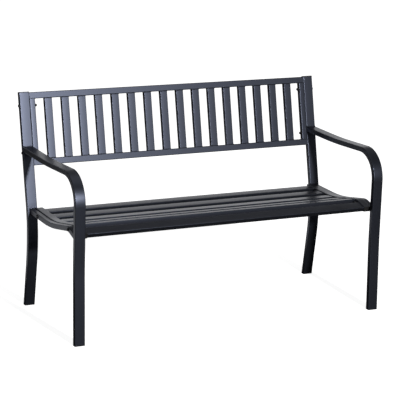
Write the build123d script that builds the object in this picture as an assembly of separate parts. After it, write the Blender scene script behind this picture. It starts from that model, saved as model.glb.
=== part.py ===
"""Steel porch bench for two or three people.

Two bent side frames carry a slatted back panel and a dished, slatted seat
panel. X runs along the bench, Y from front to rear and Z up. The origin lies
on the ground, under the middle of the bench. Side profiles are drawn in the
YZ plane, so their points are (Y, Z) pairs. Lengths are in millimetres.
"""

import math
import os

from build123d import *

# Overall size, over the frame tubes
frame_width = 1270
overall_depth = 617
overall_height = 825

# Flat tube of the side frames
tube_width = 40
tube_depth = 20
tube_wall = 1.5
tube_corner = 2.5

# Rear post: straight foot, one long bend, straight leaning back
back_lean = 12.8
rear_splay = 8.4
rear_knee_height = 295
rear_bend = 620

# Front leg and armrest, one bent tube
front_splay = 2.2
front_knee_height = 275
front_bend = 1500
arm_bend = 103
arm_front_height = 633.5
arm_dip_drop = 14.5
arm_rear_drop = 11.5
arm_dip_share = 0.43
arm_dip_bend = 2500

# Plastic plugs in the tube ends
foot_plate = 3
foot_stem = 22
cap_plate = 3
cap_stem = 18
cap_round = 1.5
plug_gap = 0.2

# Seat profile: the upper edge of the seat's end bars, from front to rear
seat_front_height = 408
seat_crest_height = 427
seat_dip_height = 391
seat_rear_height = 395
seat_crest_setback = 69
seat_dip_setback = 257
seat_crest_bend = 82
seat_dip_bend = 665
seat_bar_gap = 8

# Seat rail, a square tube between front leg and rear post
rail_width = 20
rail_height = 20
rail_wall = 1.5
rail_corner = 2.5
rail_drop = 3

# Seat panel: end bars, pressed slats and a strap under their middle
bar_width = 30
bar_height = 20
bar_wall = 1.5
bar_corner = 3
bar_plate = 2
bar_stem = 14
seat_slat_width = 45
seat_slat_lip = 17
seat_slat_wall = 1.5
seat_slat_corner = 3
seat_slat_drop = 3
seat_slat_rear_margin = 12
seat_slat_front_margin = 2
seat_washer_room = 6
strap_width = 30
strap_thick = 4

# Back panel: two rails, two stiles and upright slats
panel_height = 279
back_rail_height = 25
panel_depth = 20
stile_width = 22
panel_wall = 1.5
panel_corner = 2.5
back_slat_count = 16
back_slat_width = 30
back_slat_depth = 18
back_slat_wall = 1.2
back_slat_corner = 1.5

# Fasteners: button head screws with a hexagon socket, washers and nuts
screw_size = 6
screw_tip = 2.5
head_diameter = 10.5
head_height = 3.3
head_round = 2.2
socket_flats = 4
socket_depth = 2
washer_diameter = 13
washer_thick = 1.2
nut_flats = 10
nut_height = 5
thread_gap = 0.1
hole_gap = 0.3
back_screw_inset = 50

# How far cutting tools run past what they cut
overrun = 30

side_x = (frame_width - tube_width) / 2
bar_x = side_x - (rail_width + bar_width) / 2
slat_end_x = bar_x - bar_width / 2
panel_end_x = frame_width / 2 - tube_width
stile_x = panel_end_x - stile_width / 2


def direction(start, end):
    """Unit vector from one (Y, Z) point to another."""
    run, rise = end[0] - start[0], end[1] - start[1]
    length = math.hypot(run, rise)
    return run / length, rise / length


def along(point, heading, distance):
    """The point at a distance from another, in a direction."""
    return point[0] + heading[0] * distance, point[1] + heading[1] * distance


def stretched(points, distance):
    """A route with both its ends carried further on."""
    first = along(points[0], direction(points[1], points[0]), distance)
    last = along(points[-1], direction(points[-2], points[-1]), distance)
    return [first, *points[1:-1], last]


def shifted(points, distance):
    """The route beside another, at a distance to its left."""
    headings = [direction(a, b) for a, b in zip(points, points[1:])]
    beside = []
    for index, point in enumerate(points):
        before = headings[max(index - 1, 0)]
        after = headings[min(index, len(headings) - 1)]
        cosine = before[0] * after[0] + before[1] * after[1]
        left = (-before[1] - after[1], before[0] + after[0])
        beside.append(along(point, left, distance / (1 + cosine)))
    return beside


def turns_left(before, corner, after):
    """Whether a route turns to the left at a corner."""
    first, second = direction(before, corner), direction(corner, after)
    return first[0] * second[1] > first[1] * second[0]


def bent_line(points, radii, distance):
    """A bent route, moved sideways to the left by a distance."""
    corners = zip(points, points[1:], points[2:])
    bends = [r - distance if turns_left(*c) else r + distance for c, r in zip(corners, radii)]
    return FilletPolyline(*shifted(points, distance), radius=bends)


def strip(points, radii, right, left):
    """Flat strip between two lines that run beside a bent route."""
    low = bent_line(points, radii, right)
    high = bent_line(points, radii, left)
    return make_face([low, Line(low @ 1, high @ 1), high, Line(high @ 0, low @ 0)])


def block(profile, width):
    """A side profile made solid along X, centred on the YZ plane."""
    return extrude(Plane.YZ * profile, amount=width / 2, both=True)


def rounded_block(profile, width, corner):
    """The same with its long edges rounded."""
    solid = block(profile, width)
    flanks = solid.faces().filter_by(Axis.X)
    return fillet(flanks.edges(), corner)


def above(solid, plane):
    """What lies above a plane."""
    return split(solid, bisect_by=plane, keep=Keep.TOP)


def below(solid, plane):
    """What lies below a plane."""
    return split(solid, bisect_by=plane, keep=Keep.BOTTOM)


def cross_hole(point, width):
    """Cutter for a screw hole along X through a side profile's point."""
    drill = Cylinder(screw_size / 2 + hole_gap, width + overrun, rotation=(0, 90, 0))
    return Pos(0, *point) * drill


# Routes of the side frame's tubes, along their middle

lean = math.radians(back_lean)
post_heading = (math.sin(lean), math.cos(lean))
post_top = (
    overall_depth / 2 - tube_depth / 2 * math.cos(lean),
    overall_height - tube_depth / 2 * math.sin(lean),
)


def post_middle(height):
    """Y of the leaning part of the rear post's middle, at a height."""
    return post_top[0] - (post_top[1] - height) * math.tan(lean)


rear_knee = (post_middle(rear_knee_height), rear_knee_height)
rear_foot = (rear_knee[0] + rear_knee_height * math.tan(math.radians(rear_splay)), 0)
post_route = [rear_foot, rear_knee, post_top]

splay = math.radians(front_splay)
front_foot = (-overall_depth / 2 + tube_depth / 2 / math.cos(splay), 0)
front_knee = (front_foot[0] + front_knee_height * math.tan(splay), front_knee_height)
arm_corner = (front_knee[0], arm_front_height - tube_depth / 2)
arm_end_height = arm_front_height - arm_rear_drop - tube_depth / 2
arm_end = (post_middle(arm_end_height), arm_end_height)
arm_dip = (
    arm_end[0] + (arm_corner[0] - arm_end[0]) * arm_dip_share,
    arm_front_height - arm_dip_drop - tube_depth / 2,
)
arm_route = [front_foot, front_knee, arm_corner, arm_dip, arm_end]
arm_bends = [front_bend, arm_bend, arm_dip_bend]

post_profile = strip(stretched(post_route, overrun), [rear_bend], -tube_depth / 2, tube_depth / 2)
leg_profile = strip(arm_route, arm_bends, -tube_depth / 2, tube_depth / 2)
post_block = block(post_profile, tube_width + overrun)
leg_block = block(leg_profile, tube_width + overrun)


def post_front(height):
    """Y of the rear post's front face at a height."""
    level = Line((-overall_depth, height), (overall_depth, height))
    return (level & post_profile).bounding_box().min.X


# Seat profile, and the places of the slats on it

seat_front = (front_knee[0] + tube_depth / 2 + seat_bar_gap, seat_front_height)
seat_crest = (seat_front[0] + seat_crest_setback, seat_crest_height)
seat_dip = (seat_front[0] + seat_dip_setback, seat_dip_height)
seat_rear = (post_front(seat_rear_height) - seat_bar_gap, seat_rear_height)
seat_route = [seat_front, seat_crest, seat_dip, seat_rear]
seat_bends = [seat_crest_bend, seat_dip_bend]
seat_heading = direction(seat_dip, seat_rear)
rail_route = [
    along(seat_front, direction(seat_crest, seat_front), seat_bar_gap + tube_depth / 2),
    seat_crest,
    seat_dip,
    along(seat_rear, seat_heading, seat_bar_gap + tube_depth / 2),
]
seat_slat_line = bent_line(seat_route, seat_bends, -seat_slat_drop)
seat_slat_run = seat_slat_line.length - seat_slat_rear_margin - seat_slat_front_margin
seat_slat_least_gap = washer_diameter + 2 * seat_washer_room
seat_slat_least_pitch = seat_slat_width + seat_slat_least_gap
seat_slat_count = 1 + math.floor((seat_slat_run - seat_slat_width) / seat_slat_least_pitch)
seat_slat_pitch = (seat_slat_run - seat_slat_width) / (seat_slat_count - 1)
seat_slat_gap = seat_slat_pitch - seat_slat_width


def seat_point(line, distance):
    """(Y, Z) of the point at a distance along a seat line from its front."""
    place = line.position_at(distance, position_mode=PositionMode.LENGTH)
    return place.X, place.Y


def slat_chord(number):
    """Front and rear upper edges of a seat slat, counted from the front."""
    start = seat_slat_front_margin + number * seat_slat_pitch
    front = seat_point(seat_slat_line, start)
    rear = seat_point(seat_slat_line, start + seat_slat_width)
    return front, rear


screw_line = bent_line(seat_route, seat_bends, -rail_drop - rail_height / 2)
first_gap = seat_slat_front_margin + seat_slat_width + seat_slat_gap / 2
last_gap = first_gap + (seat_slat_count - 2) * seat_slat_pitch
seat_screws = [seat_point(screw_line, first_gap), seat_point(screw_line, last_gap)]

# Back panel's plane: its x runs along the bench, its y up and its z to the front

panel_middle = along(post_top, post_heading, -cap_plate - panel_height / 2)
panel_plane = Plane(
    origin=(0, *panel_middle),
    x_dir=(1, 0, 0),
    z_dir=(0, -math.cos(lean), math.sin(lean)),
)
back_slat_length = panel_height - 2 * back_rail_height
back_slat_pitch = (2 * (panel_end_x - stile_width) + back_slat_width) / (back_slat_count + 1)
screw_height = panel_height / 2 - back_screw_inset
back_screws = [along(panel_middle, post_heading, side * screw_height) for side in (-1, 1)]

cap_plane = Plane(origin=(0, *post_top), x_dir=(1, 0, 0), z_dir=(0, *post_heading))
foot_plane = Plane.XY.offset(foot_plate)


def bent_tube(route, bends, size, wall, corner):
    """Hollow tube of a (width, depth) along a route in the YZ plane."""
    width, depth = size
    outside = strip(route, bends, -depth / 2, depth / 2)
    inside = strip(stretched(route, overrun), bends, wall - depth / 2, depth / 2 - wall)
    return rounded_block(outside, width, corner) - block(inside, width - 2 * wall)


def tube_stem(route, bends, size, wall):
    """The space inside a bent tube, less the gap round a plug's stem."""
    width, depth = size
    reach = depth / 2 - wall - plug_gap
    inside = strip(stretched(route, overrun), bends, -reach, reach)
    return block(inside, width - 2 * (wall + plug_gap))


def rear_post():
    """Rear leg and back post, drilled for the back panel's screws."""
    size = (tube_width, tube_depth)
    tube = bent_tube(stretched(post_route, overrun), [rear_bend], size, tube_wall, tube_corner)
    tube = below(above(tube, foot_plane), cap_plane.offset(-cap_plate))
    for point in back_screws:
        tube -= cross_hole(point, tube_width)
    return tube


def arm_leg():
    """Front leg and armrest, butted against the rear post."""
    size = (tube_width, tube_depth)
    route = [stretched(arm_route, overrun)[0], *arm_route[1:]]
    tube = bent_tube(route, arm_bends, size, tube_wall, tube_corner)
    return above(tube - post_block, foot_plane)


def seat_rail():
    """Seat rail, coped to the front leg and the rear post."""
    low = bent_profile(-rail_drop - rail_height, -rail_drop)
    bore = bent_profile(rail_wall - rail_drop - rail_height, -rail_drop - rail_wall)
    tube = rounded_block(low, rail_width, rail_corner) - block(bore, rail_width - 2 * rail_wall)
    tube = tube - post_block - leg_block
    for point in seat_screws:
        tube -= cross_hole(point, rail_width)
    return tube


def bent_profile(right, left):
    """Strip beside the seat's profile, long enough to reach leg and post."""
    return strip(rail_route, seat_bends, right, left)


def foot_plug(route, bends):
    """Plastic foot: a plate under the tube's end and a stem inside it."""
    size = (tube_width, tube_depth)
    long_route = [stretched(route, overrun)[0], *route[1:]]
    outside = strip(long_route, bends, -tube_depth / 2, tube_depth / 2)
    plate = below(above(rounded_block(outside, tube_width, tube_corner), Plane.XY), foot_plane)
    stem = tube_stem(route, bends, size, tube_wall)
    return plate + below(above(stem, foot_plane), foot_plane.offset(foot_stem))


def post_cap():
    """Plastic cap on the rear post's top."""
    size = (tube_width, tube_depth)
    plate = Box(tube_width, tube_depth, cap_plate, align=(Align.CENTER, Align.CENTER, Align.MAX))
    plate = fillet(plate.edges().filter_by(Axis.Z), tube_corner)
    plate = fillet(plate.faces().sort_by(Axis.Z)[-1].edges(), cap_round)
    stem = tube_stem(post_route, [rear_bend], size, tube_wall)
    stem = below(stem, cap_plane.offset(-cap_plate))
    return cap_plane * plate + above(stem, cap_plane.offset(-cap_plate - cap_stem))


def bar_end_planes():
    """Planes square to the seat's end bar at its front and rear ends."""
    front_out = direction(seat_crest, seat_front)
    return [
        Plane(origin=(0, *seat_front), x_dir=(1, 0, 0), z_dir=(0, *front_out)),
        Plane(origin=(0, *seat_rear), x_dir=(1, 0, 0), z_dir=(0, *seat_heading)),
    ]


def bar_profile(right, left):
    """Strip beside the seat's profile that runs past both of its ends."""
    return strip(stretched(seat_route, overrun), seat_bends, right, left)


def seat_end_bar():
    """End bar of the seat panel, a hollow bent bar that follows the dished seat."""
    solid = rounded_block(bar_profile(-bar_height, 0), bar_width, bar_corner)
    bore = block(bar_profile(bar_wall - bar_height, -bar_wall), bar_width - 2 * bar_wall)
    bar = solid - bore
    for plane in bar_end_planes():
        bar = below(bar, plane.offset(-bar_plate))
    for point in seat_screws:
        bar -= cross_hole(point, bar_width)
    return bar


def seat_bar_plugs():
    """The two plastic plugs in a seat end bar's ends."""
    reach = bar_wall + plug_gap
    solid = rounded_block(bar_profile(-bar_height, 0), bar_width, bar_corner)
    stem = block(bar_profile(reach - bar_height, -reach), bar_width - 2 * reach)
    plugs = []
    for plane in bar_end_planes():
        plate = above(below(solid, plane), plane.offset(-bar_plate))
        shank = above(below(stem, plane.offset(-bar_plate)), plane.offset(-bar_plate - bar_stem))
        plugs.append(plate + shank)
    return plugs


def seat_slat(number):
    """Pressed steel seat slat, a shallow channel with its lips turned down."""
    front, rear = slat_chord(number)
    heading = direction(front, rear)
    outside = Rectangle(seat_slat_width, seat_slat_lip, align=(Align.MIN, Align.MAX))
    outside = fillet(outside.vertices().group_by(Axis.Y)[-1], seat_slat_corner)
    inside = Pos(seat_slat_wall, -seat_slat_wall) * Rectangle(
        seat_slat_width - 2 * seat_slat_wall, seat_slat_lip, align=(Align.MIN, Align.MAX)
    )
    inside = fillet(inside.vertices().group_by(Axis.Y)[-1], seat_slat_corner - seat_slat_wall)
    start = Plane(origin=(-slat_end_x, *front), x_dir=(0, *heading), z_dir=(1, 0, 0))
    return extrude(start * (outside - inside), amount=2 * slat_end_x)


def seat_strap():
    """Flat strap under the middle of the slats, bent to touch every lip."""
    under = []
    for number in range(seat_slat_count):
        front, rear = slat_chord(number)
        heading = direction(front, rear)
        down = (heading[1], -heading[0])
        under += [along(front, down, seat_slat_lip), along(rear, down, seat_slat_lip)]
    first = direction(under[0], under[1])
    under[0] = along(under[0], first, seat_slat_width / 2)
    upper = Polyline(*under)
    lower = Polyline(*shifted(under, -strap_thick))
    profile = make_face([upper, Line(upper @ 1, lower @ 1), lower, Line(lower @ 0, upper @ 0)])
    return block(profile, strap_width)


def hollow_section(width, depth, wall, corner):
    """Cross-section of a straight tube."""
    return RectangleRounded(width, depth, corner) - Rectangle(width - 2 * wall, depth - 2 * wall)


def back_rail(side):
    """Upper (1) or lower (-1) rail of the back panel, between the posts."""
    height = side * (panel_height - back_rail_height) / 2
    section = hollow_section(back_rail_height, panel_depth, panel_wall, panel_corner)
    start = Plane(origin=(-panel_end_x, height, 0), x_dir=(0, 1, 0), z_dir=(1, 0, 0))
    return panel_plane * extrude(start * section, amount=2 * panel_end_x)


def panel_upright(place, section):
    """A straight tube between the back panel's rails."""
    start = Plane(origin=(place, -back_slat_length / 2, 0), x_dir=(1, 0, 0), z_dir=(0, 1, 0))
    return extrude(start * section, amount=back_slat_length)


def back_stile(side):
    """Upright of the back panel beside a post, drilled for its screws."""
    section = hollow_section(stile_width, panel_depth, panel_wall, panel_corner)
    stile = panel_plane * panel_upright(side * stile_x, section)
    for point in back_screws:
        stile -= Pos(side * stile_x) * cross_hole(point, stile_width)
    return stile


def back_slat(number):
    """Upright slat of the back panel, flush with the back of its rails."""
    place = (number - (back_slat_count - 1) / 2) * back_slat_pitch
    recess = (panel_depth - back_slat_depth) / 2
    section = hollow_section(back_slat_width, back_slat_depth, back_slat_wall, back_slat_corner)
    return panel_plane * Pos(0, 0, -recess) * panel_upright(place, section)


def ring(outer, bore, thick):
    """Flat ring or sleeve that starts at the origin and runs up Z."""
    base = (Align.CENTER, Align.CENTER, Align.MIN)
    return Cylinder(outer, thick, align=base) - Cylinder(bore, thick, align=base)


def screw(grip):
    """Button head screw through a stack of a thickness, its head above Z = 0."""
    up = (Align.CENTER, Align.CENTER, Align.MIN)
    head = Cylinder(head_diameter / 2, head_height, align=up)
    head = fillet(head.faces().sort_by(Axis.Z)[-1].edges(), head_round)
    socket = extrude(RegularPolygon(socket_flats / 2, 6, major_radius=False), amount=socket_depth)
    head -= Pos(0, 0, head_height - socket_depth) * socket
    length = washer_thick * 2 + grip + nut_height + screw_tip
    shank = Cylinder(screw_size / 2, length, align=(Align.CENTER, Align.CENTER, Align.MAX))
    return Pos(0, 0, washer_thick) * (head + shank)


def nut():
    """Hexagon nut that starts at the origin and runs up Z."""
    body = extrude(RegularPolygon(nut_flats / 2, 6, major_radius=False), amount=nut_height)
    bore = Cylinder(screw_size / 2 + thread_gap, nut_height, align=(Align.CENTER, Align.CENTER, Align.MIN))
    return body - bore


def fasteners(points, outer_x, grip):
    """Screws, washers and nuts of both ends of the bench, as three lists."""
    washer = ring(washer_diameter / 2, screw_size / 2 + hole_gap, washer_thick)
    washers_of_one = [washer, Pos(0, 0, -grip - washer_thick) * washer]
    nut_of_one = Pos(0, 0, -grip - washer_thick - nut_height) * nut()
    screws, washers, nuts = [], [], []
    for side in (-1, 1):
        for point in points:
            place = Plane(origin=(side * outer_x, *point), x_dir=(0, 1, 0), z_dir=(side, 0, 0))
            screws.append(place * screw(grip))
            washers += [place * one for one in washers_of_one]
            nuts.append(place * nut_of_one)
    return screws, washers, nuts


def both_sides(name, shape, x):
    """A piece that the left and the right end of the bench have alike."""
    return {f"{name}_left": Pos(-x) * shape, f"{name}_right": Pos(x) * shape}


def bench():
    """Every piece of the bench, by its name."""
    pieces = {}
    pieces.update(both_sides("rear_post", rear_post(), side_x))
    pieces.update(both_sides("arm_leg", arm_leg(), side_x))
    pieces.update(both_sides("seat_rail", seat_rail(), side_x))
    pieces.update(both_sides("post_cap", post_cap(), side_x))
    pieces.update(both_sides("front_foot", foot_plug(arm_route, arm_bends), side_x))
    pieces.update(both_sides("rear_foot", foot_plug(post_route, [rear_bend]), side_x))
    pieces["back_rail_upper"] = back_rail(1)
    pieces["back_rail_lower"] = back_rail(-1)
    pieces["back_stile_left"] = back_stile(-1)
    pieces["back_stile_right"] = back_stile(1)
    for number in range(back_slat_count):
        pieces[f"back_slat_{number + 1:02d}"] = back_slat(number)
    pieces.update(both_sides("seat_end_bar", seat_end_bar(), bar_x))
    plugs = seat_bar_plugs()
    pieces["seat_bar_plugs"] = [Pos(side * bar_x) * plug for side in (-1, 1) for plug in plugs]
    for number in range(seat_slat_count):
        pieces[f"seat_slat_{number + 1}"] = seat_slat(number)
    pieces["seat_strap"] = seat_strap()
    sets = {
        "back": (back_screws, frame_width / 2, tube_width + stile_width),
        "seat": (seat_screws, side_x + rail_width / 2, rail_width + bar_width),
    }
    for name, (points, outer_x, grip) in sets.items():
        screws, washers, nuts = fasteners(points, outer_x, grip)
        pieces[f"{name}_screws"] = screws
        pieces[f"{name}_washers"] = washers
        pieces[f"{name}_nuts"] = nuts
    return pieces


def main():
    """Write each piece to its own file."""
    os.makedirs("parts", exist_ok=True)
    for name, shape in bench().items():
        if isinstance(shape, list):
            shape = Compound(children=[solid for piece in shape for solid in piece.solids()])
        export_step(shape, f"parts/{name}.step")


main()
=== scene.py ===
"""Looks of the porch bench: its finishes, pressed seat slats, weld beads and studio.

The bench stands in the middle of a plain studio. X runs along the bench, Y from
front to rear and Z up, in metres, and the origin lies on the ground.
"""

import math

import bmesh
import bpy
from bpy.props import FloatProperty, FloatVectorProperty, PointerProperty
from mathutils import Matrix, Vector, noise
from mathutils.bvhtree import BVHTree


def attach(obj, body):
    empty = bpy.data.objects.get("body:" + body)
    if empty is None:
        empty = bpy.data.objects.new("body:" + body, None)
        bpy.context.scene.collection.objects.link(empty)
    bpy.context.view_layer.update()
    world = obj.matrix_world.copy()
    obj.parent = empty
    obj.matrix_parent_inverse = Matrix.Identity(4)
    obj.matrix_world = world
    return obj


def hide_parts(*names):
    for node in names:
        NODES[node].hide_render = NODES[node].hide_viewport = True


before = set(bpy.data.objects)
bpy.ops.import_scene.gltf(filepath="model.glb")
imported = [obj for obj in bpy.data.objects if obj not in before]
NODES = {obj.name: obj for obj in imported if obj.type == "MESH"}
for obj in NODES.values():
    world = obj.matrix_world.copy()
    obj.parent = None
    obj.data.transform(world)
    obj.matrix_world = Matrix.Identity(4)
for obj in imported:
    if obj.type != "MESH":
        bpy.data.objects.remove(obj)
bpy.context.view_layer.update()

bl_info = {
    "name": "Porch bench dressing",
    "version": (1, 0, 0),
    "blender": (4, 5, 0),
    "location": "3D View > Sidebar > Bench",
    "description": "Finishes, pressed slats, weld beads and studio of a slatted steel porch bench",
    "category": "Object",
}

BODY = "root"
SIDES = ("left", "right")

FIXINGS = ("screws", "washers", "nuts")
STEELWORK = ("rear_post", "arm_leg", "seat_rail", "back_", "seat_end", "seat_slat", "seat_strap")
MOULDINGS = ("post_cap", "front_foot", "rear_foot", "seat_bar_plugs")

PLATED = [name for name in NODES if name.endswith(FIXINGS)]
COATED = [name for name in NODES if name.startswith(STEELWORK) and name not in PLATED]
PLASTIC = [name for name in NODES if name.startswith(MOULDINGS)]
SEAT_SLATS = [name for name in NODES if name.startswith("seat_slat")]
BACK_UPRIGHTS = sorted(name for name in NODES if name.startswith(("back_slat", "back_stile")))
BACK_RAILS = ("back_rail_upper", "back_rail_lower")

# Sockets of the Mix node when it mixes colours
MIX_MASK, MIX_DARK, MIX_LIGHT, MIX_RESULT = 0, 6, 7, 2

# How near a tube's end has to be to what carries it, cut flat or coped to a curve
FLAT_FIT = 0.0001
COPED_FIT = 0.0004

# Corners of an end: the fewest, their digits, and the least turn that keeps one
LEAST_CORNERS = 4
CORNER_DIGITS = 6
LEAST_TURN = 1e-12

# A weld bead: its steps along and across, how uneven and patchy it is, the bow of its
# ripples, and then shares of its size
BEAD_STEP = 0.0006
BEAD_LEAST_STEPS = 8
BEAD_POINTS = 6
BEAD_UNEVEN = 0.14
BEAD_PATCHES = 90
BEAD_BOW = 0.35
BEAD_REACH = 0.90
BEAD_WAVE = 0.13
BEAD_HOLLOW = 0.10
BEAD_SINK = 0.15
BEAD_BED = 0.12
BEAD_FOOT = 0.85

# How far down a seat bead may face before it is left out
BEAD_LOWEST = -0.75

# A pressed slat: steps round a bend and across the top, how far up its top has to face,
# and the angle from which its edges stay sharp
BEND_STEPS = 8
TOP_STEPS = 12
FACING_UP = 0.5
SLAT_CREASE = math.radians(35)

DUST_COLOUR = (0.20, 0.20, 0.20, 1.0)

# Lamps: place, aim, and width and height
KEY_LAMP = ((0.31, -8.5, 3.4), (0.0, 0.0, 0.5), (0.4, 0.4))
TOP_LAMP = ((0.0, -0.2, 3.2), (0.0, 0.0, 0.4), (3.0, 2.0))

# Pale parts of the room that show in the gloss: heading, where each starts and is full, strength
WALL_GLOWS = (
    ((0.34, 0.94, 0.0), 0.5, 0.95, 1.2),
    ((-0.17, -0.98, 0.0), 0.75, 0.98, 1.0),
    ((0.98, 0.2, 0.0), 0.82, 0.99, 0.5),
)
CEILING_GLOW = ((0.41, 0.5, 0.76), 0.86, 0.98, 0.16)
ROOM_GLOW = 0.05

FLOOR_HALF = 30
FLOOR_DIM = (0.06, 0.06, 0.06, 1)

# The photograph's viewing angle, in degrees, and the camera's place
CAMERA_TURN, CAMERA_TILT, CAMERA_ROLL = 26.102, 14.158, 1.743
CAMERA_PLACE = (-2.8181, -5.7513, 2.0354)


class BenchFinish(bpy.types.PropertyGroup):
    """Colours and surface detail of the bench."""

    coat_colour: FloatVectorProperty(
        name="Coat colour", description="Colour of the powder coat",
        subtype="COLOR", size=3, min=0, max=1, default=(0.0056, 0.0059, 0.0072),
    )
    coat_roughness: FloatProperty(
        name="Coat roughness", description="How satin the powder coat is",
        subtype="FACTOR", min=0, max=1, default=0.355,
    )
    peel_size: FloatProperty(
        name="Orange peel size", description="Width of one ripple in the powder coat",
        subtype="DISTANCE", unit="LENGTH", min=0.0005, max=0.02, default=0.0032,
    )
    peel_depth: FloatProperty(
        name="Orange peel depth", description="Depth of the ripples in the powder coat",
        subtype="DISTANCE", unit="LENGTH", min=0, max=0.001, default=0.00004,
    )
    tube_crown: FloatProperty(
        name="Tube crown", description="How far the rolled faces of a tube rise in their middle",
        subtype="DISTANCE", unit="LENGTH", min=0, max=0.001, default=0.00017,
    )
    plastic_colour: FloatVectorProperty(
        name="Plastic colour", description="Colour of the caps, plugs and feet",
        subtype="COLOR", size=3, min=0, max=1, default=(0.0105, 0.0105, 0.0110),
    )
    plated_colour: FloatVectorProperty(
        name="Plated colour", description="Colour of the black plated fixings",
        subtype="COLOR", size=3, min=0, max=1, default=(0.060, 0.060, 0.064),
    )


class BenchSlats(bpy.types.PropertyGroup):
    """Shape of the pressed seat slats."""

    bend: FloatProperty(
        name="Bend", description="Outer radius of a slat's two bends",
        subtype="DISTANCE", unit="LENGTH", min=0.0005, max=0.01, default=0.002,
    )
    sheet: FloatProperty(
        name="Sheet", description="Thickness of the sheet a slat is pressed from",
        subtype="DISTANCE", unit="LENGTH", min=0.0005, max=0.003, default=0.0015,
    )
    crown: FloatProperty(
        name="Crown", description="How far a slat's top rises in its middle",
        subtype="DISTANCE", unit="LENGTH", min=0, max=0.003, default=0.0004,
    )
    lean: FloatProperty(
        name="Lean", description="How far a slat's lips lean inwards",
        subtype="ANGLE", unit="ROTATION", min=0, max=0.6, default=math.radians(9),
    )


class BenchWelds(bpy.types.PropertyGroup):
    """Size of the weld beads."""

    slat_leg: FloatProperty(
        name="Slat bead", description="Leg of the weld bead round a slat's end",
        subtype="DISTANCE", unit="LENGTH", min=0.0005, max=0.006, default=0.0018,
    )
    frame_leg: FloatProperty(
        name="Frame bead", description="Leg of the weld bead round a frame joint",
        subtype="DISTANCE", unit="LENGTH", min=0.0005, max=0.008, default=0.0028,
    )
    ripple: FloatProperty(
        name="Ripple", description="Distance from one ripple of a bead to the next",
        subtype="DISTANCE", unit="LENGTH", min=0.0005, max=0.005, default=0.0019,
    )


class BenchStudio(bpy.types.PropertyGroup):
    """Light, floor and camera."""

    key_level: FloatProperty(
        name="Key light", description="How bright the lamp in front makes white paper",
        min=0, max=5, default=0.95,
    )
    top_level: FloatProperty(
        name="Top light", description="How bright the soft box overhead makes white paper",
        min=0, max=5, default=0.10,
    )
    room_level: FloatProperty(
        name="Room light", description="How bright the room itself makes white paper",
        min=0, max=5, default=0.14,
    )
    floor_colour: FloatVectorProperty(
        name="Floor colour", description="Colour of the plain floor",
        subtype="COLOR", size=3, min=0, max=1, default=(0.85, 0.85, 0.85),
    )
    lens: FloatProperty(
        name="Lens", description="Focal length of the camera",
        subtype="DISTANCE_CAMERA", min=10, max=400, default=154.16,
    )


def link(tree, source, target):
    """Joins two sockets of a node tree."""
    tree.links.new(source, target)


def add_node(tree, kind, **values):
    """Adds a node and sets its properties."""
    node = tree.nodes.new(kind)
    for name, value in values.items():
        setattr(node, name, value)
    return node


def feed(tree, value, socket):
    """Gives a socket another socket, a number or a colour."""
    if isinstance(value, bpy.types.NodeSocket):
        link(tree, value, socket)
    else:
        socket.default_value = value


def math_node(tree, operation, first, second, clamp=False):
    """Adds a math node fed by sockets or numbers, and returns its output."""
    node = add_node(tree, "ShaderNodeMath", operation=operation, use_clamp=clamp)
    feed(tree, first, node.inputs[0])
    feed(tree, second, node.inputs[1])
    return node.outputs[0]


def noise_node(tree, place, scale, detail, roughness):
    """Adds a noise texture at a place, and returns its value."""
    node = add_node(tree, "ShaderNodeTexNoise")
    node.inputs["Detail"].default_value = detail
    node.inputs["Roughness"].default_value = roughness
    link(tree, place, node.inputs["Vector"])
    link(tree, scale, node.inputs["Scale"])
    return node.outputs["Fac"]


def slope(tree, value, start, end, low=0, high=1):
    """A smooth change from one number to another as a value rises."""
    node = add_node(tree, "ShaderNodeMapRange", interpolation_type="SMOOTHSTEP")
    for label, number in zip(("From Min", "From Max", "To Min", "To Max"), (start, end, low, high)):
        node.inputs[label].default_value = number
    link(tree, value, node.inputs["Value"])
    return node.outputs["Result"]


def parts_of(tree, vector):
    """The X, Y and Z of a vector."""
    node = add_node(tree, "ShaderNodeSeparateXYZ")
    link(tree, vector, node.inputs[0])
    return node.outputs


def place_of(tree, kind):
    """A place on the surface, in one of the kinds that a texture can use."""
    return add_node(tree, "ShaderNodeTexCoord").outputs[kind]


def new_group(name, inputs, outputs):
    """Starts a node group with named numbers going in and coming out."""
    tree = bpy.data.node_groups.new(name, "ShaderNodeTree")
    for label, value in inputs.items():
        socket = tree.interface.new_socket(label, in_out="INPUT", socket_type="NodeSocketFloat")
        socket.default_value = value
    for label in outputs:
        tree.interface.new_socket(label, in_out="OUTPUT", socket_type="NodeSocketFloat")
    given, result = tree.nodes.new("NodeGroupInput"), tree.nodes.new("NodeGroupOutput")
    return tree, given.outputs, result.inputs


def orange_peel_group(name):
    """Ripples and pits of a sprayed and baked coat."""
    tree, given, result = new_group(name, {"Size": 0.003, "Pits": 0.3}, ("Height", "Gloss"))
    place = place_of(tree, "Object")
    scale = math_node(tree, "DIVIDE", 1.0, given["Size"])
    pit_scale = math_node(tree, "MULTIPLY", scale, 4.3)
    ripples = noise_node(tree, place, scale, detail=1.5, roughness=0.45)
    fine = noise_node(tree, place, pit_scale, detail=1.0, roughness=0.5)
    pits = math_node(tree, "MULTIPLY", fine, given["Pits"])
    link(tree, math_node(tree, "ADD", ripples, pits), result["Height"])
    link(tree, math_node(tree, "SUBTRACT", fine, 0.5), result["Gloss"])
    return tree


def rolled_face_group(name):
    """The slight crown that rolling leaves across the faces of a tube."""
    tree, given, result = new_group(name, {"Rise": 1.0}, ("Height",))
    across = parts_of(tree, place_of(tree, "Generated"))["X"]
    aside = math_node(tree, "SUBTRACT", across, 0.5)
    fall = math_node(tree, "MULTIPLY", math_node(tree, "MULTIPLY", aside, aside), 4.0)
    arch = math_node(tree, "SUBTRACT", 1.0, fall)
    link(tree, math_node(tree, "MULTIPLY", arch, given["Rise"]), result["Height"])
    return tree


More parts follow.
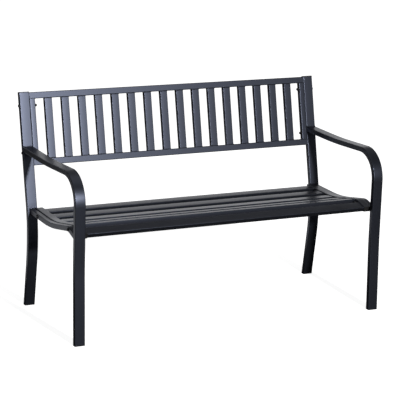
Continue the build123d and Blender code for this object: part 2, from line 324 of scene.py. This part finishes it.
def tone_group(name):
    """Slow changes of tone along a surface, from 0 to 1."""
    tree, given, result = new_group(name, {"Size": 0.3}, ("Tone",))
    scale = math_node(tree, "DIVIDE", 1.0, given["Size"])
    tone = noise_node(tree, place_of(tree, "Object"), scale, detail=3.0, roughness=0.55)
    link(tree, slope(tree, tone, start=0.3, end=0.7), result["Tone"])
    return tree


def dust_group(name):
    """Thin dust on what faces up, broken up by noise."""
    tree, given, result = new_group(name, {"Amount": 0.1, "Size": 0.01}, ("Dust",))
    normal = add_node(tree, "ShaderNodeNewGeometry").outputs["Normal"]
    facing_up = slope(tree, parts_of(tree, normal)["Z"], start=0.55, end=0.98)
    place = place_of(tree, "Object")
    scale = math_node(tree, "DIVIDE", 1.0, given["Size"])
    speck_scale = math_node(tree, "MULTIPLY", scale, 14.0)
    cloud = noise_node(tree, place, scale, detail=4.0, roughness=0.65)
    specks = noise_node(tree, place, speck_scale, detail=2.0, roughness=0.6)
    grain = math_node(tree, "MULTIPLY", cloud, specks)
    settled = math_node(tree, "MULTIPLY", grain, facing_up)
    link(tree, math_node(tree, "MULTIPLY", settled, given["Amount"]), result["Dust"])
    return tree


GROUPS = {
    "Orange peel": orange_peel_group,
    "Rolled face": rolled_face_group,
    "Slow tone": tone_group,
    "Settled dust": dust_group,
}


def place_group(tree, name, **values):
    """Puts a shared node group into a material with its own values, and returns its outputs."""
    group = bpy.data.node_groups.get(name) or GROUPS[name](name)
    node = add_node(tree, "ShaderNodeGroup", node_tree=group)
    for label, value in values.items():
        node.inputs[label].default_value = value
    return node.outputs


def mix_colours(tree, mask, dark, light):
    """Mixes two colours by a mask."""
    mix = add_node(tree, "ShaderNodeMix", data_type="RGBA")
    link(tree, mask, mix.inputs[MIX_MASK])
    feed(tree, dark, mix.inputs[MIX_DARK])
    feed(tree, light, mix.inputs[MIX_LIGHT])
    return mix.outputs[MIX_RESULT]


def brighter(colour, share):
    """A colour made lighter or darker by a share."""
    return (*(min(1.0, part * share) for part in colour), 1.0)


def start_finish(name, colour, shades, tone_size, peel_size, pits):
    """A new material, with its orange peel and a base colour that drifts between two shades."""
    material = bpy.data.materials.new(name)
    material.use_nodes = True
    tree = material.node_tree
    shader = tree.nodes["Principled BSDF"]
    peel = place_group(tree, "Orange peel", Size=peel_size, Pits=pits)
    tone = place_group(tree, "Slow tone", Size=tone_size)["Tone"]
    dark, light = (brighter(colour, share) for share in shades)
    return material, shader, peel, mix_colours(tree, tone, dark, light)


def end_finish(shader, peel, base, roughness, reach, height, depth):
    """Feeds the shader its base colour, its uneven roughness and its bump."""
    tree = shader.id_data
    link(tree, base, shader.inputs["Base Color"])
    moved = math_node(tree, "MULTIPLY", peel["Gloss"], reach)
    link(tree, math_node(tree, "ADD", moved, roughness, clamp=True), shader.inputs["Roughness"])
    bump = add_node(tree, "ShaderNodeBump")
    bump.inputs["Strength"].default_value = 1.0
    bump.inputs["Distance"].default_value = depth
    link(tree, height, bump.inputs["Height"])
    link(tree, bump.outputs["Normal"], shader.inputs["Normal"])


def powder_coat(name, finish):
    """Satin black powder coat with a fine orange peel and a little dust, on rolled faces."""
    depth = finish.peel_depth
    material, shader, peel, base = start_finish(
        name, finish.coat_colour, shades=(0.86, 1.14),
        tone_size=0.22, peel_size=finish.peel_size, pits=0.25,
    )
    tree = material.node_tree
    dust = place_group(tree, "Settled dust", Amount=0.06, Size=0.012)["Dust"]
    dusty = mix_colours(tree, dust, base, DUST_COLOUR)
    crown = place_group(tree, "Rolled face", Rise=finish.tube_crown / depth)["Height"]
    height = math_node(tree, "ADD", peel["Height"], crown)
    end_finish(shader, peel, dusty, finish.coat_roughness, reach=0.12, height=height, depth=depth)
    shader.inputs["IOR"].default_value = 1.8
    shader.inputs["Specular Tint"].default_value = (0.67, 0.745, 1.0, 1.0)
    return material


def moulded_plastic(name, finish):
    """Matt black moulded plastic with a fine spark-eroded grain."""
    material, shader, peel, base = start_finish(
        name, finish.plastic_colour, shades=(0.9, 1.15),
        tone_size=0.03, peel_size=0.0007, pits=0.6,
    )
    end_finish(shader, peel, base, roughness=0.55, reach=0.2, height=peel["Height"], depth=0.00004)
    shader.inputs["IOR"].default_value = 1.47
    return material


def plated_steel(name, finish):
    """Black plated steel of the screws, washers and nuts."""
    material, shader, peel, base = start_finish(
        name, finish.plated_colour, shades=(0.75, 1.25),
        tone_size=0.004, peel_size=0.0004, pits=0.5,
    )
    end_finish(shader, peel, base, roughness=0.38, reach=0.22, height=peel["Height"], depth=0.00001)
    shader.inputs["Metallic"].default_value = 0.85
    return material


FINISHES = {
    "satin_powder_coat": powder_coat,
    "matt_moulded_plastic": moulded_plastic,
    "black_plated_steel": plated_steel,
}


def finish_of(name):
    """A finish by its name, made when it is first asked for."""
    return bpy.data.materials.get(name) or FINISHES[name](name, bpy.context.scene.bench_finish)


def finish_nodes(names, material):
    """Gives CAD nodes a finish through their objects' material slots."""
    for name in names:
        for material_slot in NODES[name].material_slots:
            material_slot.link = "OBJECT"
            material_slot.material = material


def coated_piece(name, made, crease=math.pi):
    """Turns mesh data into a coated piece on the bench, sharp where it bends past the crease."""
    bmesh.ops.recalc_face_normals(made, faces=made.faces)
    mesh = bpy.data.meshes.new(name)
    made.to_mesh(mesh)
    made.free()
    mesh.polygons.foreach_set("use_smooth", [True] * len(mesh.polygons))
    mesh.set_sharp_from_angle(angle=crease)
    mesh.materials.append(finish_of("satin_powder_coat"))
    piece = bpy.data.objects.new(name, mesh)
    bpy.context.scene.collection.objects.link(piece)
    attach(piece, BODY)
    return piece


def hull(points):
    """Convex outline of flat points, anticlockwise."""
    ordered = sorted(set((round(x, CORNER_DIGITS), round(y, CORNER_DIGITS)) for x, y in points))
    halves = []
    for run in (ordered, ordered[::-1]):
        half = []
        for x, y in run:
            while len(half) > 1:
                (ax, ay), (bx, by) = half[-2:]
                if (bx - ax) * (y - ay) - (by - ay) * (x - ax) > LEAST_TURN:
                    break
                half.pop()
            half.append((x, y))
        halves += half[:-1]
    return halves


def end_outline(piece, carrier, fit):
    """Outline of a tube's end where it meets what carries it, with that face's normal."""
    mesh = NODES[carrier].data
    faces = BVHTree.FromPolygons([v.co for v in mesh.vertices], [p.vertices for p in mesh.polygons])
    corners = [vertex.co for vertex in NODES[piece].data.vertices]
    touching, normals = [], []
    for corner in corners:
        place, normal, _, _ = faces.find_nearest(corner, fit)
        if place is not None:
            touching.append(corner.copy())
            normals.append(normal)
    if len(touching) < LEAST_CORNERS:
        raise RuntimeError(f"{piece} doesn't meet {carrier}")
    centre = sum(touching, Vector()) / len(touching)
    inside = sum(corners, Vector()) / len(corners)
    out = max(normals, key=lambda normal: normal.dot(inside - centre)).normalized()
    side = out.orthogonal().normalized()
    other = out.cross(side)
    outline = hull([((p - centre).dot(side), (p - centre).dot(other)) for p in touching])
    return [centre + side * x + other * y for x, y in outline], out


def even_steps(points, step):
    """Points at even steps round a closed outline, and the step that came out."""
    lengths = [(b - a).length for a, b in zip(points, points[1:] + points[:1])]
    total = sum(lengths)
    count = max(BEAD_LEAST_STEPS, round(total / step))
    stepped, index, past = [], 0, 0.0
    for number in range(count):
        target = total * number / count
        while past + lengths[index] < target:
            past += lengths[index]
            index += 1
        share = (target - past) / lengths[index]
        stepped.append(points[index].lerp(points[(index + 1) % len(points)], share))
    return stepped, total / count


def bead_section(point, away, out, leg, run, ripple):
    """Section of a bead: its rippled face, and a back that sinks into both pieces."""
    size = leg * (1 + BEAD_UNEVEN * noise.noise(point * BEAD_PATCHES))
    section = []
    for number in range(BEAD_POINTS):
        turn = math.pi / 2 * number / (BEAD_POINTS - 1)
        middle = math.sin(2 * turn)
        wave = abs(math.sin(math.pi * (run + ripple * BEAD_BOW * middle) / ripple))
        reach = size * (BEAD_REACH + BEAD_WAVE * wave * middle - BEAD_HOLLOW * middle)
        section.append(point + away * reach * math.cos(turn) + out * reach * math.sin(turn))
    sunk = point - away * leg * BEAD_SINK
    bed = out * leg * BEAD_BED
    section.append(sunk + out * size * BEAD_FOOT)
    section.append(sunk - bed)
    section.append(point + away * size * BEAD_FOOT - bed)
    return section


def lay_bead(made, outline, out, leg, ripple, lowest=-math.inf):
    """Lays a rippled fillet weld round an outline, where it faces no lower than a limit."""
    path, step = even_steps(outline, BEAD_STEP)
    count = len(path)
    centre = sum(path, Vector()) / count
    headings = []
    for number in range(count):
        travel = path[(number + 1) % count] - path[number - 1]
        headings.append(travel.normalized().cross(out).normalized())
    outwards = sum((point - centre).dot(away) for point, away in zip(path, headings))
    flip = 1 if outwards > 0 else -1
    rings = []
    for number, (point, heading) in enumerate(zip(path, headings)):
        away = heading * flip
        if away.z > lowest:
            section = bead_section(point, away, out, leg, number * step, ripple)
            rings.append([made.verts.new(place) for place in section])
        else:
            rings.append(None)
    for number, ring in enumerate(rings):
        if ring is None:
            continue
        after = rings[(number + 1) % count]
        if rings[number - 1] is None:
            made.faces.new(ring[::-flip])
        if after is None:
            made.faces.new(ring[::flip])
            continue
        for index in range(len(ring)):
            beside = (index + 1) % len(ring)
            corners = (ring[index], after[index], after[beside], ring[beside])
            made.faces.new(corners[::flip])


def bead_piece(name, joints, leg, ripple):
    """One piece with the weld beads of a list of joints."""
    made = bmesh.new()
    for piece, carrier, fit in joints:
        outline, out = end_outline(piece, carrier, fit)
        lay_bead(made, outline, out, leg, ripple)
    return coated_piece(name, made)


def slat_place(name):
    """A seat slat's upper front edge, rearward and upward headings, width, drop and two ends."""
    mesh = NODES[name].data
    tops = [face for face in mesh.polygons if face.normal.z > FACING_UP]
    top = max(tops, key=lambda face: face.area).normal
    up = Vector((0, top.y, top.z)).normalized()
    rear = Vector((0, up.z, -up.y))
    depths = [vertex.co.dot(rear) for vertex in mesh.vertices]
    heights = [vertex.co.dot(up) for vertex in mesh.vertices]
    ends = [vertex.co.x for vertex in mesh.vertices]
    edge = rear * min(depths) + up * max(heights)
    width, drop = max(depths) - min(depths), max(heights) - min(heights)
    return edge, rear, up, width, drop, (min(ends), max(ends))


def pressed_outline(width, drop, slats):
    """Outside of a pressed slat's section, front lip to rear lip, as points rearward and upward."""
    middle = width / 2
    bend = []
    for step in range(BEND_STEPS + 1):
        turn = math.pi / 2 + (math.pi / 2 + slats.lean) * step / BEND_STEPS
        bend.append((slats.bend * (1 + math.cos(turn)), slats.bend * (math.sin(turn) - 1)))
    inmost, lowest = bend[-1]
    foot = (inmost + (drop + lowest) * math.tan(slats.lean), -drop)
    front = [foot, *bend[::-1]]
    top = []
    for step in range(1, TOP_STEPS):
        across = 2 * step / TOP_STEPS - 1
        top.append((middle + across * (middle - slats.bend), slats.crown * (1 - across * across)))
    return front + top + [(width - depth, height) for depth, height in front[::-1]]


def inside_of(outline, sheet):
    """The same outline on the sheet's inner side."""
    inner = []
    last = len(outline) - 1
    for number, (depth, height) in enumerate(outline):
        before = Vector(outline[max(number - 1, 0)])
        after = Vector(outline[min(number + 1, last)])
        run = (after - before).normalized()
        inner.append((depth + run.y * sheet, height - run.x * sheet))
    return inner


def at_end(section, end, edge, rear, up):
    """A section's points at one end of a slat."""
    start = edge + Vector((end, 0, 0))
    return [start + rear * depth + up * height for depth, height in section]


def press_slat(made, name, slats):
    """Presses one seat slat from sheet, in the place of its node."""
    edge, rear, up, width, drop, ends = slat_place(name)
    outer = pressed_outline(width, drop, slats)
    section = outer + inside_of(outer, slats.sheet)[::-1]
    count = len(section)
    rows = []
    for end in ends:
        rows.append([made.verts.new(place) for place in at_end(section, end, edge, rear, up)])
    near, far = rows
    for number in range(count):
        after = (number + 1) % count
        made.faces.new((near[number], near[after], far[after], far[number]))
    for row in rows:
        for number in range(len(outer) - 1):
            inner = count - 1 - number
            made.faces.new((row[number], row[number + 1], row[inner - 1], row[inner]))


class BENCH_OT_coat_steel(bpy.types.Operator):
    """Give the steel tubes, slats and strap their powder coat."""

    bl_idname = "bench.coat_steel"
    bl_label = "Coat the steel"

    def execute(self, context):
        finish_nodes(COATED, finish_of("satin_powder_coat"))
        return {"FINISHED"}


class BENCH_OT_finish_plastic(bpy.types.Operator):
    """Give the caps, plugs and feet their moulded plastic."""

    bl_idname = "bench.finish_plastic"
    bl_label = "Finish the plastic"

    def execute(self, context):
        finish_nodes(PLASTIC, finish_of("matt_moulded_plastic"))
        return {"FINISHED"}


class BENCH_OT_plate_fixings(bpy.types.Operator):
    """Give the screws, washers and nuts their black plating."""

    bl_idname = "bench.plate_fixings"
    bl_label = "Plate the fixings"

    def execute(self, context):
        finish_nodes(PLATED, finish_of("black_plated_steel"))
        return {"FINISHED"}


class BENCH_OT_press_slats(bpy.types.Operator):
    """Press the seat slats with a crowned top, rounded bends and leaning lips."""

    bl_idname = "bench.press_slats"
    bl_label = "Press the seat slats"

    def execute(self, context):
        for name in SEAT_SLATS:
            made = bmesh.new()
            press_slat(made, name, context.scene.bench_slats)
            piece = coated_piece(f"{name}_pressed", made, SLAT_CREASE)
            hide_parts(name)
        return {"FINISHED"}


class BENCH_OT_weld_back(bpy.types.Operator):
    """Weld the slats and stiles of the back to its rails."""

    bl_idname = "bench.weld_back"
    bl_label = "Weld the back"

    def execute(self, context):
        welds = context.scene.bench_welds
        joints = [(upright, rail, FLAT_FIT) for upright in BACK_UPRIGHTS for rail in BACK_RAILS]
        bead_piece("back_weld_beads", joints, welds.slat_leg, welds.ripple)
        return {"FINISHED"}


class BENCH_OT_weld_seat(bpy.types.Operator):
    """Weld the seat slats to the end bars."""

    bl_idname = "bench.weld_seat"
    bl_label = "Weld the seat"

    def execute(self, context):
        welds = context.scene.bench_welds
        made = bmesh.new()
        for name in SEAT_SLATS:
            edge, rear, up, width, drop, ends = slat_place(name)
            section = pressed_outline(width, drop, context.scene.bench_slats)
            for end in ends:
                outline = at_end(section, end, edge, rear, up)
                inward = Vector((-math.copysign(1, end), 0, 0))
                lay_bead(made, outline, inward, welds.slat_leg, welds.ripple, BEAD_LOWEST)
        coated_piece("seat_weld_beads", made)
        return {"FINISHED"}


class BENCH_OT_weld_frames(bpy.types.Operator):
    """Weld the armrests and seat rails to the legs and posts."""

    bl_idname = "bench.weld_frames"
    bl_label = "Weld the side frames"

    def execute(self, context):
        welds = context.scene.bench_welds
        joints = []
        for side in SIDES:
            joints.append((f"arm_leg_{side}", f"rear_post_{side}", FLAT_FIT))
            joints.append((f"seat_rail_{side}", f"rear_post_{side}", COPED_FIT))
            joints.append((f"seat_rail_{side}", f"arm_leg_{side}", COPED_FIT))
        bead_piece("frame_weld_beads", joints, welds.frame_leg, welds.ripple)
        return {"FINISHED"}


def box_light(name, lamp, level):
    """A soft box that makes white paper at its aim as bright as a level."""
    place, aim, size = lamp
    data = bpy.data.lights.new(name, "AREA")
    data.shape = "RECTANGLE"
    data.size, data.size_y = size
    beam = Vector(aim) - Vector(place)
    data.energy = level * math.pi**2 * beam.length_squared
    box = bpy.data.objects.new(name, data)
    box.location = place
    box.rotation_mode = "QUATERNION"
    box.rotation_quaternion = beam.to_track_quat("-Z", "Y")
    bpy.context.scene.collection.objects.link(box)


def room_glow(tree, place, glow):
    """A pale part of the room, strongest where a direction turns to its heading."""
    heading, start, full, strength = glow
    nearness = add_node(tree, "ShaderNodeVectorMath", operation="DOT_PRODUCT")
    nearness.inputs[1].default_value = heading
    link(tree, place, nearness.inputs[0])
    mask = slope(tree, nearness.outputs["Value"], start, full)
    return math_node(tree, "MULTIPLY", mask, strength)


def studio_world(fill):
    """White room that the camera sees, with pale walls in the gloss and a plain level of light."""
    world = bpy.data.worlds.new("studio_room")
    bpy.context.scene.world = world
    world.use_nodes = True
    tree = world.node_tree
    shown = tree.nodes["Background"]
    path = add_node(tree, "ShaderNodeLightPath").outputs
    place = place_of(tree, "Generated")
    low = slope(tree, parts_of(tree, place)["Z"], start=0.14, end=0.55, low=1, high=0.08)
    room = math_node(tree, "MAXIMUM", room_glow(tree, place, CEILING_GLOW), ROOM_GLOW)
    for glow in WALL_GLOWS:
        wall = math_node(tree, "MULTIPLY", room_glow(tree, place, glow), low)
        room = math_node(tree, "MAXIMUM", room, wall)
    gleam = math_node(tree, "MAXIMUM", path["Is Glossy Ray"], path["Is Transmission Ray"])
    reflected = math_node(tree, "MULTIPLY", gleam, room)
    seen = math_node(tree, "MAXIMUM", path["Is Camera Ray"], reflected)
    either = math_node(tree, "MAXIMUM", path["Is Camera Ray"], gleam)
    rest = math_node(tree, "MULTIPLY", math_node(tree, "SUBTRACT", 1.0, either), fill)
    link(tree, math_node(tree, "ADD", seen, rest), shown.inputs["Strength"])
    shown.inputs["Color"].default_value = (1, 1, 1, 1)


def matt_and_glow(tree, colour, strength):
    """A matt surface that also glows, and returns both as one shader."""
    matt = add_node(tree, "ShaderNodeBsdfDiffuse")
    matt.inputs["Color"].default_value = colour
    glow = add_node(tree, "ShaderNodeEmission")
    link(tree, strength, glow.inputs["Strength"])
    both = add_node(tree, "ShaderNodeAddShader")
    link(tree, matt.outputs[0], both.inputs[0])
    link(tree, glow.outputs[0], both.inputs[1])
    return both.outputs[0]


def floor_material(colour):
    """Pale floor for the camera, dim for the bench but for a strip that its rear faces show."""
    material = bpy.data.materials.new("studio_floor")
    material.use_nodes = True
    tree = material.node_tree
    tree.nodes.clear()
    path = add_node(tree, "ShaderNodeLightPath").outputs
    place = place_of(tree, "Object")
    away = add_node(tree, "ShaderNodeVectorMath", operation="LENGTH")
    link(tree, place, away.inputs[0])
    level = slope(tree, away.outputs["Value"], start=0.5, end=1.9, low=0.84, high=0.93)
    lift = math_node(tree, "MULTIPLY", path["Is Camera Ray"], level)
    shown = matt_and_glow(tree, (*colour, 1), lift)
    rearward = parts_of(tree, place)["Y"]
    near = slope(tree, rearward, start=0.45, end=0.85)
    far = slope(tree, rearward, start=1.3, end=2.2, low=0.6, high=0)
    strip = math_node(tree, "MULTIPLY", near, far)
    dim = matt_and_glow(tree, FLOOR_DIM, strip)
    mixed = add_node(tree, "ShaderNodeMixShader")
    unseen = math_node(tree, "MAXIMUM", path["Is Glossy Ray"], path["Is Diffuse Ray"])
    for socket, source in zip(mixed.inputs, (unseen, shown, dim)):
        link(tree, source, socket)
    link(tree, mixed.outputs[0], add_node(tree, "ShaderNodeOutputMaterial").inputs["Surface"])
    return material


def studio_floor(colour):
    """A wide plain floor that keeps the bench's shadow."""
    made = bmesh.new()
    bmesh.ops.create_grid(made, x_segments=12, y_segments=12, size=FLOOR_HALF)
    mesh = bpy.data.meshes.new("studio_floor")
    made.to_mesh(mesh)
    made.free()
    mesh.materials.append(floor_material(colour))
    floor = bpy.data.objects.new("studio_floor", mesh)
    bpy.context.scene.collection.objects.link(floor)


def studio_camera(lens):
    """Camera at the photograph's viewing angle."""
    data = bpy.data.cameras.new("camera")
    data.sensor_width = 36
    data.lens = lens
    data.clip_end = 200
    camera = bpy.data.objects.new("camera", data)
    bpy.context.scene.collection.objects.link(camera)
    turn, tilt, roll = (math.radians(angle) for angle in (CAMERA_TURN, CAMERA_TILT, CAMERA_ROLL))
    level = math.cos(tilt)
    ahead = Vector((math.sin(turn) * level, math.cos(turn) * level, -math.sin(tilt)))
    across = Vector((math.cos(turn), -math.sin(turn), 0))
    upright = across.cross(ahead)
    right = across * math.cos(roll) + upright * math.sin(roll)
    up = upright * math.cos(roll) - across * math.sin(roll)
    axes = Matrix((right, up, -ahead)).transposed().to_4x4()
    camera.matrix_world = Matrix.Translation(CAMERA_PLACE) @ axes
    bpy.context.scene.camera = camera


class BENCH_OT_build_studio(bpy.types.Operator):
    """Set up the floor, the lamps, the white room and the camera."""

    bl_idname = "bench.build_studio"
    bl_label = "Build the studio"

    def execute(self, context):
        studio = context.scene.bench_studio
        studio_floor(studio.floor_colour)
        studio_world(studio.room_level)
        box_light("key_soft_box", KEY_LAMP, studio.key_level)
        box_light("top_soft_box", TOP_LAMP, studio.top_level)
        studio_camera(studio.lens)
        context.scene.view_settings.view_transform = "Standard"
        return {"FINISHED"}


class BENCH_PT_panel(bpy.types.Panel):
    """Bench tools in the sidebar."""

    bl_idname = "BENCH_PT_panel"
    bl_label = "Porch bench"
    bl_space_type = "VIEW_3D"
    bl_region_type = "UI"
    bl_category = "Bench"

    def draw(self, context):
        for group in SETTINGS:
            settings = getattr(context.scene, group)
            box = self.layout.box()
            for name in settings.bl_rna.properties.keys():
                if name not in ("rna_type", "name"):
                    box.prop(settings, name)
        for operator in OPERATORS:
            self.layout.operator(operator.bl_idname)


SETTINGS = {
    "bench_finish": BenchFinish,
    "bench_slats": BenchSlats,
    "bench_welds": BenchWelds,
    "bench_studio": BenchStudio,
}
OPERATORS = (
    BENCH_OT_coat_steel,
    BENCH_OT_finish_plastic,
    BENCH_OT_plate_fixings,
    BENCH_OT_press_slats,
    BENCH_OT_weld_back,
    BENCH_OT_weld_seat,
    BENCH_OT_weld_frames,
    BENCH_OT_build_studio,
)


def register():
    """Registers the settings, the operators and the panel."""
    for kind in (*SETTINGS.values(), *OPERATORS, BENCH_PT_panel):
        bpy.utils.register_class(kind)
    for name, kind in SETTINGS.items():
        setattr(bpy.types.Scene, name, PointerProperty(type=kind))


def unregister():
    """Takes them out again."""
    for name in SETTINGS:
        delattr(bpy.types.Scene, name)
    for kind in (BENCH_PT_panel, *OPERATORS[::-1], *SETTINGS.values()):
        bpy.utils.unregister_class(kind)


def main():
    """Dresses the bench piece by piece."""
    register()
    bpy.ops.bench.coat_steel()
    bpy.ops.bench.finish_plastic()
    bpy.ops.bench.plate_fixings()
    bpy.ops.bench.press_slats()
    bpy.ops.bench.weld_back()
    bpy.ops.bench.weld_seat()
    bpy.ops.bench.weld_frames()
    bpy.ops.bench.build_studio()


if __name__ == "__main__":
    main()
